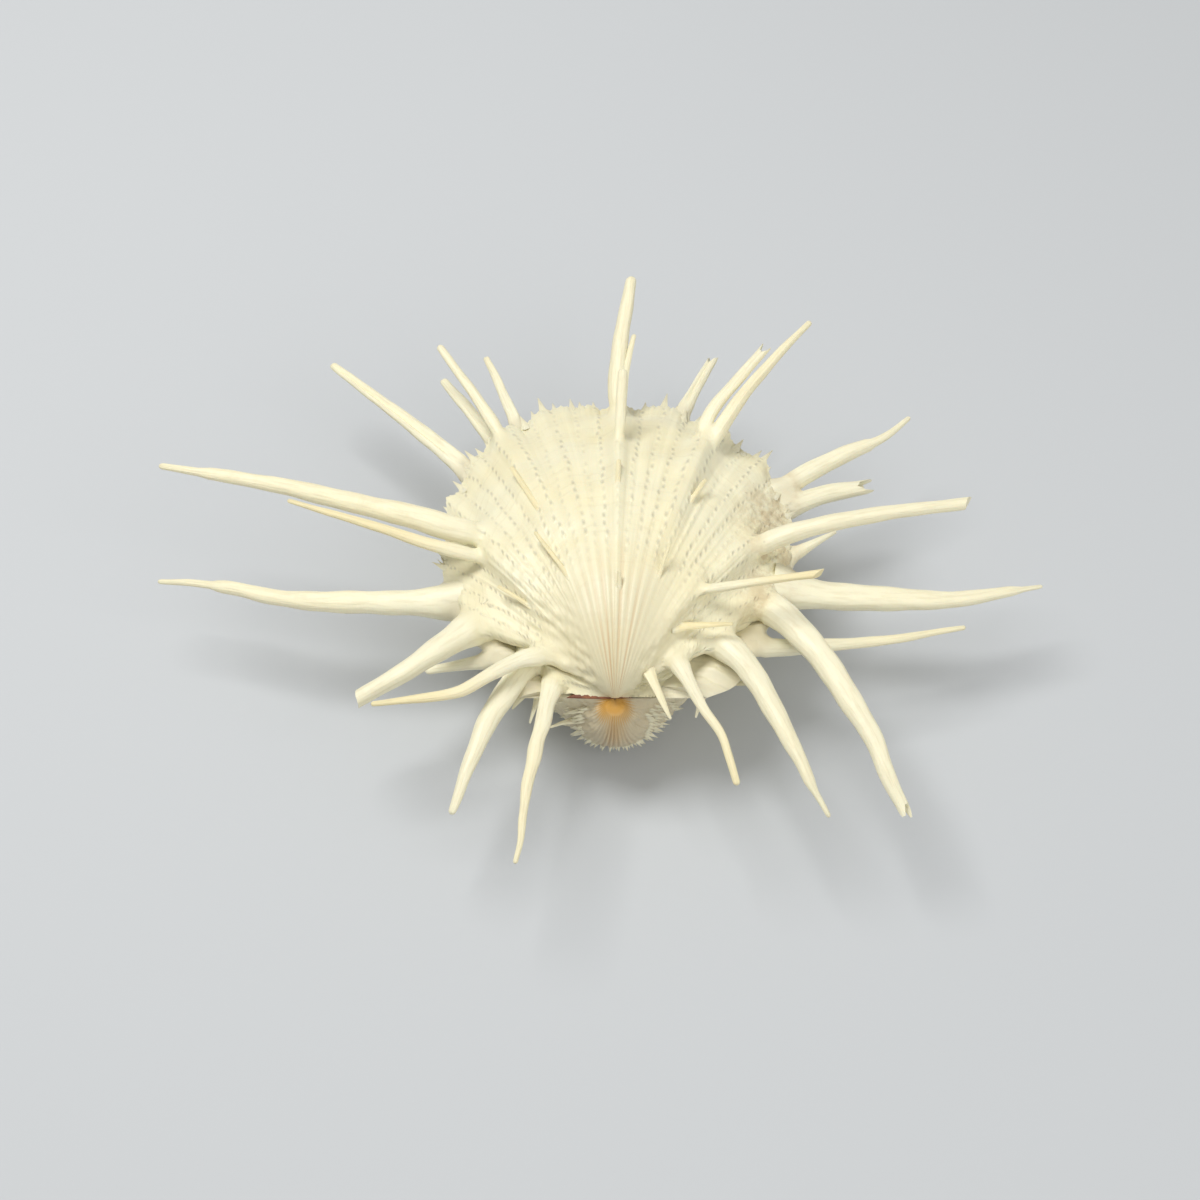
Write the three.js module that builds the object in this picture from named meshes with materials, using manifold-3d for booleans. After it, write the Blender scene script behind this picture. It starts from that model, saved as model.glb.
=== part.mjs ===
// Thorny oyster shell, both valves closed, in millimetres with +Z up.
// The shell rests on the flat scar where the lower valve was cemented to rock: the scar's centre is the
// origin, the hinge is towards -Y, and the open margin of the valves is towards +Y.
import * as THREE from 'three';
import { mergeVertices } from 'three/addons/utils/BufferGeometryUtils.js';
import Module from 'manifold-3d';

const wasm = await Module();
wasm.setup();

// Driving dimensions.
const hingeBack = 30; // from the scar's centre back to the hinge line
const seamHeight = 26.5; // from the scar up to the seam between the valves
const valveLength = 88; // from the hinge line to the far margin
const seamGap = 0.3; // open seam between the two valves

// Walls.
const blockScale = 1.02; // a valve's clearance block as a share of the valve
const liningInset = 0.955; // the lining's outline as a share of the outline it follows
const liningShift = 2; // how far the lining's outline is moved off the hinge line
const beakFrom = 0.17; // share of growth below which the hollow narrows towards the beak
const leastHollow = 0.08; // how far it narrows
const rimSides = 38; // steps round the margin
const growthSteps = 11; // steps from margin to beak
const growthCrowding = 1.35; // how much closer together the steps are towards the beak
const tangentStep = 0.01;
const mergeDistance = 1e-4;

// Spines.
const spineSides = 7;
const spineSteps = 6;
const thornSides = 5;
const thornSteps = 2;
const sectionFlatness = 0.78; // a spine's thickness as a share of its width
const bladeFlatness = 0.5; // the same for the flat needles
const rootSink = 0.25; // depth of a spine's root below the outer face, as a share of its width
const ribSink = 0.5; // the same where a spine starts under its rib
const leastWidth = 0.5;

// Outline of each valve in the plane of the seam: x across the hinge, y away from it.
const openMargin = [
  [-40.5, 34], [-40.5, 50], [-36.5, 65], [-28.5, 78], [-16, 86.5], [0, valveLength],
  [15, 86.5], [27, 79.5], [36.5, 69], [41.5, 57], [42, 43],
];
const upperOutline = [
  [-12, 0], [-15, 6], [-20, 13], [-29, 19.5], [-37, 25],
  ...openMargin,
  [39.5, 31], [33, 22], [20, 13], [12, 5], [9, 0],
];
const lowerOutline = [
  [-22, 0], [-28, 9], [-33, 17], [-38, 25],
  ...openMargin,
  [41, 33], [37.5, 23], [33, 14], [28, 4], [21, 0],
];

// The lower valve is solid under its ears: its hollow is no wider there than the upper valve over it.
const lowerHollowOutline = [
  [-12, 0], [-17, 8], [-24, 15.5], [-34, 24],
  ...openMargin,
  [39.5, 32], [32.5, 22], [20.5, 13], [9.5, 2],
];

// A valve grows as a spiral: each earlier margin is smaller and turned about the hinge line.
// tightness says how fast it shrinks as it turns, and side is 1 above the seam and -1 below it.
// tip is the size of the beak as a share of the grown valve, and lining is the tightness of the lining.
const upperForm = {
  margin: curveThrough(upperOutline),
  hollow: curveThrough(upperOutline),
  tightness: 1.7,
  lining: 1.95,
  tip: 0.02,
  side: 1,
  seam: seamGap,
};
const lowerForm = {
  margin: curveThrough(lowerOutline),
  hollow: curveThrough(lowerHollowOutline),
  tightness: 1.0,
  lining: 1.13,
  tip: 0.05,
  side: -1,
  seam: 0,
};

function curveThrough(outline) {
  const points = outline.map(([x, y]) => new THREE.Vector3(x, y, 0));
  return new THREE.CatmullRomCurve3(points, false, 'catmullrom', 0.5);
}

// A point given from the middle of the hinge line, in the part's own frame.
function fromHinge(x, y, z) {
  return new THREE.Vector3(x, y - hingeBack, z + seamHeight);
}

function turned(form, point, grown, tightness) {
  const turn = -Math.log(grown) / tightness;
  const reach = point.y * grown;
  const height = form.seam + form.side * reach * Math.sin(turn);
  return fromHinge(point.x * grown, reach * Math.cos(turn), height);
}

// The outer face, at a share of the way round the margin and a share of full growth.
function outerPoint(form, around, grown) {
  return turned(form, form.margin.getPointAt(around), grown, form.tightness);
}

// The smooth lining inside the wall. Towards the beak it closes in, so that the beak is solid shell.
function liningPoint(form, around, grown) {
  const open = THREE.MathUtils.mapLinear(grown, form.tip, beakFrom, leastHollow, 1);
  const point = form.hollow.getPointAt(around).multiplyScalar(liningInset * Math.min(open, 1));
  point.y += liningShift * (1 - point.y / valveLength);
  return turned(form, point, grown, form.lining);
}

// The outer face moved just off the hinge line, so that the space under it closes along the hinge.
function blockFace(form, around, grown) {
  const point = form.margin.getPointAt(around).multiplyScalar(blockScale);
  point.y += seamGap;
  return turned(form, point, grown, form.tightness);
}

function outwardAt(form, around, grown) {
  const here = outerPoint(form, around, grown);
  const along = outerPoint(form, around, grown - tangentStep).sub(here);
  const across = outerPoint(form, Math.min(around + tangentStep, 1), grown).sub(here);
  return along.cross(across).multiplyScalar(form.side).normalize();
}

// A closed mesh as a solid, turned face out if it was wound the other way.
function solidOf(geometry) {
  geometry.deleteAttribute('normal');
  geometry.deleteAttribute('uv');
  const merged = mergeVertices(geometry, mergeDistance);
  const triVerts = new Uint32Array(merged.index.array);
  const vertProperties = merged.attributes.position.array;
  const made = new wasm.Manifold(new wasm.Mesh({ numProp: 3, vertProperties, triVerts }));
  if (made.volume() > 0) return made;
  for (let i = 0; i < triVerts.length; i += 3) {
    [triVerts[i + 1], triVerts[i + 2]] = [triVerts[i + 2], triVerts[i + 1]];
  }
  return new wasm.Manifold(new wasm.Mesh({ numProp: 3, vertProperties, triVerts }));
}

// Joins closed rings of equal length into one tube and closes both ends with endFaces.
function solidFromRings(rings, endFaces) {
  const count = rings[0].length;
  const index = [];
  for (let r = 0; r + 1 < rings.length; r++) {
    for (let i = 0; i < count; i++) {
      const a = r * count + i;
      const b = r * count + ((i + 1) % count);
      index.push(a, b, b + count, a, b + count, a + count);
    }
  }
  const last = (rings.length - 1) * count;
  for (const [a, b, c] of endFaces) {
    index.push(c, b, a, last + a, last + b, last + c);
  }
  const geometry = new THREE.BufferGeometry().setFromPoints(rings.flat());
  geometry.setIndex(index);
  return solidOf(geometry);
}

function fan(count) {
  return Array.from({ length: count - 2 }, (_, i) => [0, i + 1, i + 2]);
}

// Stages of growth from the full margin down to the beak, closer together towards the beak.
function growthStages(form) {
  const stages = [];
  for (let j = 0; j <= growthSteps; j++) {
    const left = 1 - j / growthSteps;
    stages.push(form.tip + (1 - form.tip) * Math.pow(left, growthCrowding));
  }
  return stages;
}

function aroundStations() {
  return Array.from({ length: rimSides + 1 }, (_, i) => i / rimSides);
}

// The wall of one valve, between its outer face and its lining.
function wall(form) {
  const stations = aroundStations();
  const rings = growthStages(form).map((grown) => {
    const outer = stations.map((around) => outerPoint(form, around, grown));
    const lining = stations.map((around) => liningPoint(form, around, grown));
    return [...outer, ...lining.reverse()];
  });
  const lastIndex = 2 * rimSides + 1;
  const rim = [];
  for (let i = 0; i < rimSides; i++) {
    rim.push([i, i + 1, lastIndex - i], [i + 1, lastIndex - i - 1, lastIndex - i]);
  }
  return solidFromRings(rings, rim);
}

// The space from the seam to a face given as a function of place and growth.
function spaceUnder(form, facePoint) {
  const rings = growthStages(form).map((grown) =>
    aroundStations().map((around) => facePoint(form, around, grown)),
  );
  return solidFromRings(rings, fan(rimSides + 1));
}

// The whole room one valve takes up, with the seam's gap beyond it.
function clearance(form) {
  const block = spaceUnder(form, blockFace);
  return block.add(block.translate([0, 0, -form.side * seamGap]));
}

function quadratic(values, share) {
  const [start, middle, end] = values;
  const bend = 2 * start + 2 * end - 4 * middle;
  return start + (4 * middle - 3 * start - end) * share + bend * share * share;
}

// One spine: it runs under the rib to its root, lifts off, and passes through its points to the tip.
function spine(form, entry, sides = spineSides, steps = spineSteps) {
  const { at, run = 1, through, wide, flatness = sectionFlatness } = entry;
  const [around, grown] = at;
  const root = outerPoint(form, around, grown);
  root.addScaledVector(outwardAt(form, around, grown), -rootSink * wide[0]);
  const points = [root, ...through.map(([x, y, z]) => fromHinge(x, y, z))];
  if (run < 1) {
    const start = outerPoint(form, around, grown * run);
    start.addScaledVector(outwardAt(form, around, grown * run), -ribSink * wide[0]);
    points.unshift(start);
  }
  const path = new THREE.CatmullRomCurve3(points, false, 'centripetal');
  const rings = [];
  for (let s = 0; s <= steps; s++) {
    const share = s / steps;
    const centre = path.getPointAt(share);
    const along = path.getTangentAt(share);
    const across = new THREE.Vector3(0, 0, 1).cross(along).normalize();
    const up = along.clone().cross(across);
    const half = Math.max(quadratic(wide, share), leastWidth) / 2;
    const ring = [];
    for (let i = 0; i < sides; i++) {
      const turn = (2 * Math.PI * i) / sides;
      const corner = centre.clone().addScaledVector(across, half * Math.cos(turn));
      ring.push(corner.addScaledVector(up, half * flatness * Math.sin(turn)));
    }
    rings.push(ring);
  }
  return solidFromRings(rings, fan(sides));
}

function needle(form, entry) {
  return spine(form, { flatness: bladeFlatness, ...entry }, thornSides, thornSteps);
}

// Spines of the upper valve. at: share round the margin and share of growth where the spine leaves the
// rib; run: how far back along the rib it starts; through: points from the middle of the hinge line, the
// last one the tip; wide: width at root, middle and tip.
const upperSpines = [
  {
    at: [0.277, 0.72],
    run: 0.8,
    through: [[-38.5, 41.5, 11], [-68, 48, 14], [-107.5, 57, 15]],
    wide: [8, 3.8, 1.4],
  },
  {
    at: [0.247, 0.7],
    run: 0.8,
    through: [[-39.5, 35, 11], [-58.5, 39.5, 15], [-76, 43, 19]],
    wide: [4.6, 2.8, 1.1],
  },
  { at: [0.373, 0.9], run: 0.8, through: [[-32, 83.5, 6], [-43, 100, 10]], wide: [5.8, 3.2, 1.8] },
  {
    at: [0.5, 0.88],
    run: 0.8,
    through: [[1, 92, 10.5], [2.5, 105, 13.5], [4.5, 117.5, 16]],
    wide: [5.2, 4.2, 2.4],
  },
  { at: [0.5, 0.72], run: 0.85, through: [[1.5, 72.5, 17], [2, 81.5, 22]], wide: [3.2, 2.6, 2.3] },
  {
    at: [0.603, 0.82],
    run: 0.8,
    through: [[27, 75.5, 11], [37.5, 90, 14], [48, 101.5, 17]],
    wide: [5.6, 3.4, 1.4],
  },
  { at: [0.597, 0.81], run: 0.85, through: [[23, 76.5, 10.5], [36.5, 94, 15]], wide: [4.2, 3.2, 2.2] },
  {
    at: [0.737, 0.7],
    run: 0.8,
    through: [[43, 40, 11.5], [62, 43, 14], [82.5, 45.5, 15]],
    wide: [6.6, 3.9, 2.3],
  },
  { at: [0.71, 0.4], run: 0.8, through: [[27, 21, 15], [46.5, 20.5, 20]], wide: [4.2, 2.2, 2] },
  {
    at: [0.82, 0.85],
    through: [[41, 18, 4.5], [50.5, 1.5, 5.5], [58, -14, 4], [64.5, -31, 0]],
    wide: [7.4, 5, 1.6],
  },
  { at: [0.867, 0.69], through: [[30.5, 4.5, 5.5], [38.5, -15, 6], [47.5, -33.5, 1]], wide: [7, 4.5, 1.2] },
  { at: [0.857, 0.4], through: [[17, -1.5, 7.5], [23.5, -17, 9], [27, -29, 7]], wide: [4.6, 2.4, 1.6] },
  {
    at: [0.143, 0.84],
    through: [[-38.5, 12.5, 4.5], [-48.5, 3.5, 5], [-58.5, -1.5, 2]],
    wide: [9, 5.2, 2.6],
  },
  { at: [0.14, 0.41], through: [[-28, 1, 8.5], [-35, -5, 9.5], [-55, -7.5, 8]], wide: [4.4, 2.9, 1.1] },
  { at: [0.06, 0.95], through: [[-24.5, 1, 2], [-31, -14.5, 3], [-36.5, -32, 0]], wide: [6.6, 4.5, 1.4] },
  { at: [0.035, 0.85], through: [[-15.5, -4, 3.5], [-19, -23.5, 5], [-22, -47, 3]], wide: [4.4, 3, 1] },
];

// Short flat needles standing on the ribs of the upper valve, in the same terms.
const upperNeedles = [
  { at: [0.497, 0.46], through: [[1, 56, 18.5]], wide: [2.2, 2, 1.6] },
  { at: [0.507, 0.28], through: [[1, 21.5, 20]], wide: [1.8, 1.6, 1.3] },
  { at: [0.37, 0.55], through: [[-24.5, 58.5, 13]], wide: [2.4, 2.2, 1.7] },
  { at: [0.367, 0.35], through: [[-18.5, 34.5, 18]], wide: [2, 1.8, 1.4] },
  { at: [0.23, 0.44], through: [[-27, 24, 11]], wide: [1.9, 1.6, 1.3] },
  { at: [0.613, 0.56], through: [[21.5, 52.5, 15.5]], wide: [2, 1.8, 1.3] },
  { at: [0.617, 0.34], through: [[12.5, 29, 20]], wide: [1.8, 1.5, 1.2] },
  { at: [0.5, 0.85], through: [[2.8, 90, 11], [5, 101, 13]], wide: [2.4, 2, 1.1] },
  { at: [0.747, 0.32], through: [[27, 13, 11]], wide: [2.8, 1.8, 0.9] },
  { at: [0.81, 0.19], through: [[9.5, -2, 6], [12.5, -11, 7]], wide: [2.6, 1.9, 0.6] },
];

// Spines of the lower valve, in the same terms.
const lowerSpines = [
  {
    at: [0.155, 0.91],
    through: [[-54, 28.5, -1], [-78, 31, -2], [-108.5, 38, -5]],
    wide: [7.8, 4.6, 1.2],
  },
  { at: [0.317, 0.96], through: [[-46.5, 81.5, -2], [-70.5, 105.5, -3]], wide: [5.4, 3.4, 1.8] },
  { at: [0.363, 0.97], through: [[-34, 85.5, -0.5], [-42.5, 99.5, -2]], wide: [3.8, 3, 1.8] },
  { at: [0.39, 0.97], through: [[-25, 88, -1.5], [-32, 108, -3]], wide: [3.4, 2.4, 1.3] },
  { at: [0.563, 0.97], through: [[17, 88, -1], [24.5, 105, -1]], wide: [3.8, 2.9, 2.2] },
  {
    at: [0.703, 0.96],
    through: [[46.5, 68, 0], [64.5, 77.5, 0.5], [72.5, 84.5, 1]],
    wide: [5.2, 3.2, 0.9],
  },
  { at: [0.715, 0.94], through: [[50.5, 61.5, -1], [60.5, 63, 0]], wide: [5.6, 4.2, 2.4] },
  { at: [0.79, 0.96], through: [[53, 50, -1]], wide: [3.6, 2.2, 0.7] },
  {
    at: [0.823, 0.93],
    through: [[49, 31.5, -2], [80, 31, -3], [101.5, 36.5, -5]],
    wide: [7.2, 4.6, 0.9],
  },
  { at: [0.903, 0.9], through: [[38.5, 16, -2], [62.5, 20, -4.5], [82.5, 25, -6]], wide: [4.6, 2.6, 1] },
  { at: [0.07, 0.86], through: [[-36, 12, -3.5], [-44, 11.5, -5]], wide: [3.4, 2.6, 1.8] },
];

// Small spines round the beak of the lower valve, in the same terms.
const lowerNeedles = [
  { at: [0.723, 0.443], through: [[32.5, 10, -8]], wide: [3, 2, 1.4] },
  { at: [0.205, 0.219], through: [[-12, -0.5, -9], [-15, -2.5, -8]], wide: [2, 1.2, 0.6] },
];

// Thorns on the underside: one on every other rib, set back from the margin and leaning outwards.
const underThorns = {
  from: 0.2,
  to: 0.85,
  spacing: 0.0625,
  grown: 0.74,
  wander: 0.06,
  waves: 9,
  length: 9,
  swell: 4,
  drop: 1.5,
  fanCentre: 10,
  wide: [3.4, 1.8, 0.7],
};

function underThorn(around) {
  const { grown, wander, waves, length, swell, drop, fanCentre, wide } = underThorns;
  const rooted = grown + wander * Math.cos(waves * Math.PI * around);
  const foot = outerPoint(lowerForm, around, rooted);
  const rim = outerPoint(lowerForm, around, 1);
  const out = new THREE.Vector3(rim.x, rim.y - fanCentre, 0).normalize();
  const tip = foot.addScaledVector(out, length + swell * Math.sin(Math.PI * around));
  const through = [[tip.x, tip.y + hingeBack, tip.z - seamHeight - drop]];
  return spine(lowerForm, { at: [around, rooted], through, wide }, thornSides, thornSteps);
}

function allUnderThorns() {
  const thorns = [];
  for (let around = underThorns.from; around < underThorns.to; around += underThorns.spacing) {
    thorns.push(underThorn(around));
  }
  return thorns;
}

function joined(solids) {
  return solids.reduce((whole, piece) => whole.add(piece));
}

// The largest single body, without crumbs that a cut leaves loose.
function mainBody(solid) {
  const bodies = solid.decompose();
  return bodies.reduce((best, body) => (body.volume() > best.volume() ? body : best));
}

// The ligament: a thin spindle-shaped strip along the hinge, with an allowance all round for its pit.
const ligamentFrom = -11;
const ligamentTo = 4;
const ligamentThick = 0.9;
const ligamentBack = 1.4;
const ligamentDepth = 5.2;

function ligament(allowance) {
  const middle = (ligamentFrom + ligamentTo) / 2;
  const shape = new THREE.Shape();
  shape.moveTo(ligamentFrom - allowance, 0);
  shape.quadraticCurveTo(middle, -ligamentBack - allowance, ligamentTo + allowance, 0);
  shape.quadraticCurveTo(middle, ligamentDepth + allowance, ligamentFrom - allowance, 0);
  const thick = ligamentThick + 2 * allowance;
  const strip = new THREE.ExtrudeGeometry(shape, { depth: thick, bevelEnabled: false, curveSegments: 8 });
  const centre = fromHinge(0, 0, (seamGap - thick) / 2);
  return solidOf(strip.translate(centre.x, centre.y, centre.z));
}

// Everything below the flat scar.
const groundWidth = 300;
const groundDepth = 40;

function ground() {
  const block = new THREE.BoxGeometry(groundWidth, groundWidth, groundDepth);
  return solidOf(block.translate(0, 0, -groundDepth / 2));
}

// A whole valve: spine roots are cut off where they would enter its hollow or the other valve.
function valve(form, growths, otherForm) {
  const rooted = joined(growths).subtract(spaceUnder(form, liningPoint)).subtract(clearance(otherForm));
  const grownOut = wall(form).add(rooted);
  return mainBody(grownOut.subtract(ligament(seamGap)).subtract(ground()));
}

const upperGrowths = [
  ...upperSpines.map((entry) => spine(upperForm, entry)),
  ...upperNeedles.map((entry) => needle(upperForm, entry)),
];
const lowerGrowths = [
  ...lowerSpines.map((entry) => spine(lowerForm, entry)),
  ...lowerNeedles.map((entry) => needle(lowerForm, entry)),
  ...allUnderThorns(),
];

function meshOf(name, solid, color, roughness) {
  const made = solid.getMesh();
  const geometry = new THREE.BufferGeometry();
  geometry.setAttribute('position', new THREE.BufferAttribute(made.vertProperties, made.numProp));
  geometry.setIndex(new THREE.BufferAttribute(made.triVerts, 1));
  const material = new THREE.MeshStandardMaterial({ color, roughness, metalness: 0 });
  const mesh = new THREE.Mesh(geometry, material);
  mesh.name = name;
  return mesh;
}

const shell = new THREE.Group();
shell.name = 'thorny_oyster_shell';
shell.add(meshOf('upper_valve', valve(upperForm, upperGrowths, lowerForm), 0xf2eccf, 0.45));
shell.add(meshOf('lower_valve', valve(lowerForm, lowerGrowths, upperForm), 0xe6dfc4, 0.5));
shell.add(meshOf('hinge_ligament', ligament(0), 0x7a4630, 0.7));

export default shell;
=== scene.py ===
import math
import random
import time
import bpy
import numpy as np
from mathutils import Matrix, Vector
from mathutils.kdtree import KDTree


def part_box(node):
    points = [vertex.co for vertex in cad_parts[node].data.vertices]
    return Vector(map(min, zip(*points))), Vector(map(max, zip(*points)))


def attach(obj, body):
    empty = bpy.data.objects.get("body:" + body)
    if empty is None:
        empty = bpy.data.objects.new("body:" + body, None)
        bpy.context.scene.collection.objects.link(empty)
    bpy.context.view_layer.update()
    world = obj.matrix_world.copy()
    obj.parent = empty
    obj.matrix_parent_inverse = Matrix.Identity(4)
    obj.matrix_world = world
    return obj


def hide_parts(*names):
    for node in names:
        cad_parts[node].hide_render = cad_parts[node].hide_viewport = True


started = time.time()
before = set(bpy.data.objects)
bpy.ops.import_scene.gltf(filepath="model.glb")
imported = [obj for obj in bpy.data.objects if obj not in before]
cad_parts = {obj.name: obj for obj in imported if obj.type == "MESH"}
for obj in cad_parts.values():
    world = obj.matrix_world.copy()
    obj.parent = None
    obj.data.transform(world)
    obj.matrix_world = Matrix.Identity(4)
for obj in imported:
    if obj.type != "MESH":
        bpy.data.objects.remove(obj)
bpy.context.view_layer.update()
metresPerMm = 0.001

# where the hinge is, read from the frame, in mm
seamGap = 0.3
ligamentBulge = 0.7
ligamentLow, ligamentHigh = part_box("hinge_ligament")
seamHeight = (ligamentLow.z + ligamentHigh.z) / 2 / metresPerMm - seamGap / 2
hingeY = ligamentLow.y / metresPerMm + ligamentBulge


def say(text):
    print(f"[{time.time() - started:5.1f} s] {text}")


def smooth(value, low, high):
    share = np.clip((np.asarray(value, float) - low) / (high - low), 0, 1)
    return share * share * (3 - 2 * share)


def bell(value, centre, width):
    return np.exp(-((np.asarray(value, float) - centre) / width) ** 2)


def ripple(points, size, seed, waves=9):
    # a smooth bumpy field between about -1 and 1, from a few crossing waves
    dice = np.random.default_rng(seed)
    total = np.zeros(len(points))
    for _ in range(waves):
        way = dice.normal(size=3)
        way *= (2 * math.pi / size) * dice.uniform(0.6, 1.5) / np.linalg.norm(way)
        total += np.sin(points @ way + dice.uniform(0, 2 * math.pi))
    return total / waves ** 0.5 / 1.4


# half outlines of the margin, in mm from the middle of the hinge: x to the right, y to the open side
openMargin = [(-40.5, 34), (-40.5, 50), (-36.5, 65), (-28.5, 78), (-16, 86.5), (0, 88),
              (15, 86.5), (27, 79.5), (36.5, 69), (41.5, 57), (42, 43)]

# the lower valve is solid under its ears, so its hollow is narrower there than its margin
lowerHollow = [(-12, 0), (-17, 8), (-24, 15.5), (-34, 24), *openMargin,
               (39.5, 32), (32.5, 22), (20.5, 13), (9.5, 2)]

upperForm = {
    "outline": [(-12, 0), (-15, 6), (-20, 13), (-29, 19.5), (-37, 25), *openMargin,
                (39.5, 31), (33, 22), (20, 13), (12, 5), (9, 0)],
    "tightness": 1.7, "lining": 1.95, "side": 1, "seam": seamGap, "tip": 0.02,
    "ribs": 36, "ribEarly": 0.28, "ribLate": 0.1, "ribFlank": 0.1, "ribSpread": 0.08, "seed": 3,
    # low broad ribs between the spines: place round the margin, width and height in mm
    "broadRibs": [(0.43, 5, 0.35), (0.465, 4, 0.3), (0.54, 5, 0.35), (0.565, 4, 0.25), (0.665, 6, 0.45),
                  (0.32, 6, 0.4), (0.345, 4, 0.3), (0.2, 6, 0.3), (0.78, 6, 0.4)],
    # lobes of the margin: place and how far each stands out, as a share of the valve
    "lobes": [(0.277, 0.024), (0.373, 0.028), (0.426, 0.02), (0.46, 0.014), (0.5, 0.024), (0.543, 0.022),
              (0.603, 0.03), (0.66, 0.02), (0.737, 0.02), (0.335, 0.016)],
}
lowerForm = {
    "outline": [(-22, 0), (-28, 9), (-33, 17), (-38, 25), *openMargin,
                (41, 33), (37.5, 23), (33, 14), (28, 4), (21, 0)],
    "hollow": lowerHollow,
    "tightness": 1.0, "lining": 1.13, "side": -1, "seam": 0, "tip": 0.05,
    "ribs": 30, "ribEarly": 0.3, "ribLate": 0.25, "ribFlank": 0.35, "ribSpread": 0.12, "seed": 5,
    "broadRibs": [(0.2, 6, 0.4), (0.26, 6, 0.5), (0.45, 6, 0.5), (0.5, 6, 0.5), (0.65, 6, 0.5),
                  (0.76, 6, 0.5)],
    "lobes": [(0.317, 0.012), (0.39, 0.01), (0.563, 0.012), (0.703, 0.012)],
}


def catmull(points, steps=40):
    # the same even curve through the outline's points as the solids have
    points = np.array(points, float)
    padded = np.vstack([2 * points[0] - points[1], points, 2 * points[-1] - points[-2]])
    share = np.linspace(0, 1, steps, endpoint=False)[:, None]
    stretches = []
    for a, b, c, d in zip(padded, padded[1:], padded[2:], padded[3:]):
        stretches.append(0.5 * (2 * b + (c - a) * share + (2 * a - 5 * b + 4 * c - d) * share ** 2
                                + (3 * b - a - 3 * c + d) * share ** 3))
    curve = np.vstack([*stretches, points[-1:]])
    length = np.r_[0, np.cumsum(np.linalg.norm(np.diff(curve, axis=0), axis=1))]
    return curve, length


for form in (upperForm, lowerForm):
    form["margin"] = catmull(form["outline"])
    form["pocket"] = catmull(form.get("hollow", form["outline"]))
    form["round"] = form["margin"][1][-1]


def curveAt(curve, place):
    points, length = curve
    at = np.asarray(place) * length[-1]
    return np.interp(at, length, points[:, 0]), np.interp(at, length, points[:, 1])


def turned(form, x, y, grown, tightness):
    turn = -np.log(grown) / tightness
    reach = y * grown
    height = form["seam"] + form["side"] * reach * np.sin(turn)
    return np.stack([x * grown, hingeY + reach * np.cos(turn), seamHeight + height], -1)


def outerFace(form, place, grown):
    x, y = curveAt(form["margin"], place)
    return turned(form, x, y, grown, form["tightness"])


def liningFace(form, place, grown):
    # closes in towards the beak, which is solid
    inset, shift, deep, beakFrom, leastHollow = 0.955, 2, 88, 0.17, 0.08
    opened = np.interp(grown, [form["tip"], beakFrom], [leastHollow, 1])
    x, y = (values * inset * opened for values in curveAt(form["pocket"], place))
    return turned(form, x, y + shift * (1 - y / deep), grown, form["lining"])


def outward(form, place, grown):
    small = 0.004
    place = np.clip(place, small, 1 - small)
    grown = np.clip(grown, 0.02, 1)
    across = outerFace(form, place + small, grown) - outerFace(form, place - small, grown)
    along = outerFace(form, place, grown * 1.01) - outerFace(form, place, grown * 0.99)
    way = np.cross(across, along) * form["side"]
    return way / np.linalg.norm(way, axis=-1, keepdims=True)


# fine uneven ridges from beak to margin: how many round the valve, and height in mm
fineRidges = [(53, 0.09), (71, 0.07), (97, 0.06), (131, 0.05), (173, 0.035)]
broadRibScale = 1.6  # raises every broad rib


def ribRelief(form, place, grown):
    # height of the outer face above the plain form, in mm; grown is one number
    phase = place * form["ribs"]
    number = np.floor(phase + 0.5).astype(int)
    dice = np.random.default_rng(form["seed"])
    strength = dice.uniform(0.55, 1.3, form["ribs"] + 2)[number]
    ridge = (0.5 + 0.5 * np.cos(2 * math.pi * phase)) ** 1.4
    middle = form["ribFlank"] + (1 - form["ribFlank"]) * bell(place, 0.5, form["ribSpread"])
    late = smooth(grown, 0.3, 0.7)
    tall = form["ribEarly"] * smooth(grown, 0.02, 0.14) * (1 - late) + form["ribLate"] * late
    relief = tall * ridge * strength * middle
    for centre, width, height in form["broadRibs"]:
        away = (place - centre) * form["round"] * grown
        relief = relief + broadRibScale * height * smooth(grown, 0.3, 0.8) * bell(away, 0, 0.6 * width)
    for turns, high in fineRidges:
        bend = dice.uniform(0, 2 * math.pi)
        weight = 0.5 + 0.5 * np.sin(place * turns / 5.3 + 7 * grown + bend)
        wave = np.sin(2 * math.pi * turns * place + bend + 0.8 * math.sin(9 * grown))
        relief = relief + high * weight * wave * smooth(grown, 0.2, 0.65)
    for spine in form["spines"]:
        # the rib that swells up into each spine
        centre, rooted = spine["at"]
        thick = spine["wide"][0]
        away = (place - centre) * form["round"] * grown
        swell = smooth(grown, 0.35 * rooted, rooted) * (1 - smooth(grown, rooted + 0.02, rooted + 0.14))
        spread = (0.45 + 0.25 * swell) * thick
        relief = relief + spine.get("hill", 0.42) * thick * swell ** 1.2 * bell(away, 0, spread)
    return relief


def crustAmount(form, place, grown):
    # the encrusted patch near the right edge of the upper valve
    if form is lowerForm:
        return 0.7 * smooth(grown, 0.8, 0.95) * smooth(place, 0.62, 0.7) * (1 - smooth(place, 0.86, 0.92))
    return smooth(grown, 0.6, 0.85) * smooth(place, 0.65, 0.71) * (1 - smooth(place, 0.83, 0.89))


def makeObject(name, points, faces):
    mesh = bpy.data.meshes.new(name)
    mesh.from_pydata((np.asarray(points) * metresPerMm).tolist(), [], faces)
    mesh.validate()
    made = bpy.data.objects.new(name, mesh)
    bpy.context.scene.collection.objects.link(made)
    return made


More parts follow.
